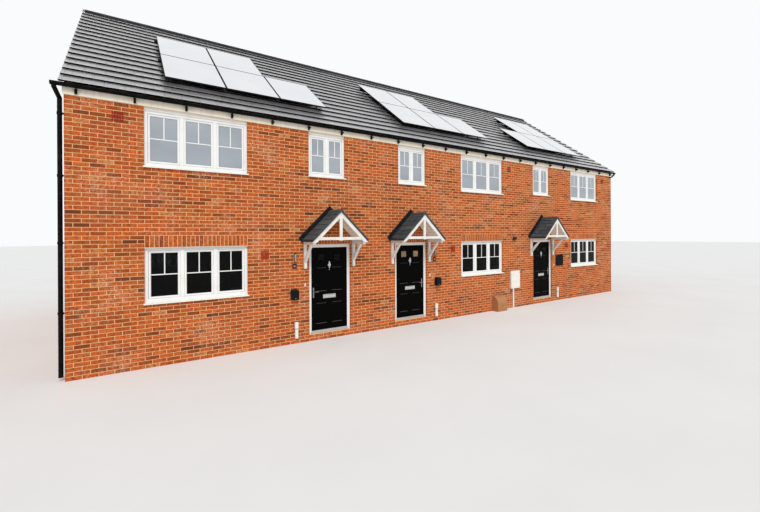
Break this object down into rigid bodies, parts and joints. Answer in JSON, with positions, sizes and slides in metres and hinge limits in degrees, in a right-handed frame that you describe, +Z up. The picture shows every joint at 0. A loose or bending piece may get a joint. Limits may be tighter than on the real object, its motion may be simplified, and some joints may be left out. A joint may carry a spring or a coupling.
{
  "type": "terraced house row",
  "caption": "Two-storey brick terrace of modern houses under one gabled tile roof, with gabled door canopies, solar panels and hinged front doors.",
  "frame": {"origin": "middle of the base at ground level, on the ground floors' underside", "axes": "+X along the front to the right, +Y from the front to the back, +Z up"},
  "size_m": [17.88, 10.319, 8.4679],
  "materials": {
    "red_brick": "rough multi-tone clay brick with pale mortar",
    "plaster": "matt",
    "concrete": "trowelled",
    "floor_boards": "plain boards",
    "roof_tile": "flat interlocking concrete tile, matt",
    "verge_plastic": "satin",
    "fascia_white": "satin",
    "rainwater_black": "satin",
    "frame_white": "satin",
    "clear_glass": "clear",
    "door_black": "satin, grained",
    "chrome": "polished",
    "pv_glass": "dark cells behind glass",
    "rail_metal": "black anodised",
    "canopy_timber": "painted white",
    "lantern_black": "powder coated",
    "box_black": "gloss",
    "box_white": "moulded",
    "box_brown": "moulded",
    "plaque_black": "matt"
  },
  "bodies": {
    "house": {"front_wall_left": "red_brick", "front_wall_pier": "red_brick", "front_wall_middle": "red_brick", "front_wall_right": "red_brick", "front_wall_upper": "red_brick", "rear_wall_ground": "red_brick", "rear_wall_upper": "red_brick", "left_gable_wall": "red_brick", "right_gable_wall": "red_brick", "party_walls": "plaster", "ground_floors": "concrete", "upper_floors": "floor_boards", "upper_ceilings": "plaster", "front_roof": "roof_tile", "rear_roof": "roof_tile", "ridge_tiles": "roof_tile", "dry_verges": "verge_plastic", "fascias": "fascia_white", "gutters": "rainwater_black", "downpipes": "rainwater_black", "front_windows": "frame_white", "rear_windows": "frame_white", "front_glass": "clear_glass", "rear_glass": "clear_glass", "window_trims": "frame_white", "rear_doors": "door_black", "solar_panels": "pv_glass", "solar_rails": "rail_metal", "canopy_roofs": "roof_tile", "canopy_frames": "canopy_timber", "wall_lights": "lantern_black", "post_boxes": "box_black", "meter_boxes": "box_white", "ground_meter_box": "box_brown", "wall_plaque": "plaque_black", "door_hinges": "chrome", "threshold_walls": "red_brick", "door_1_frame": "frame_white", "door_2_frame": "frame_white", "door_3_frame": "frame_white"},
    "door_1": {"door_1_leaf": "door_black", "door_1_panes": "clear_glass", "door_1_fittings": "chrome"},
    "door_2": {"door_2_leaf": "door_black", "door_2_panes": "clear_glass", "door_2_fittings": "chrome"},
    "door_3": {"door_3_leaf": "door_black", "door_3_panes": "clear_glass", "door_3_fittings": "chrome"}
  },
  "joints": [
    {"name": "door_1_hinge", "type": "hinge", "parent": "house", "child": "door_1", "pos_m": [-3.513, -4.62, 0.6], "axis": [0, 0, -1], "range_deg": [0, 90]},
    {"name": "door_2_hinge", "type": "hinge", "parent": "house", "child": "door_2", "pos_m": [-2.0795, -4.62, 0.6], "axis": [0, 0, 1], "range_deg": [0, 90]},
    {"name": "door_3_hinge", "type": "hinge", "parent": "house", "child": "door_3", "pos_m": [3.658, -4.62, 0.6], "axis": [0, 0, 1], "range_deg": [0, 90]}
  ]
}
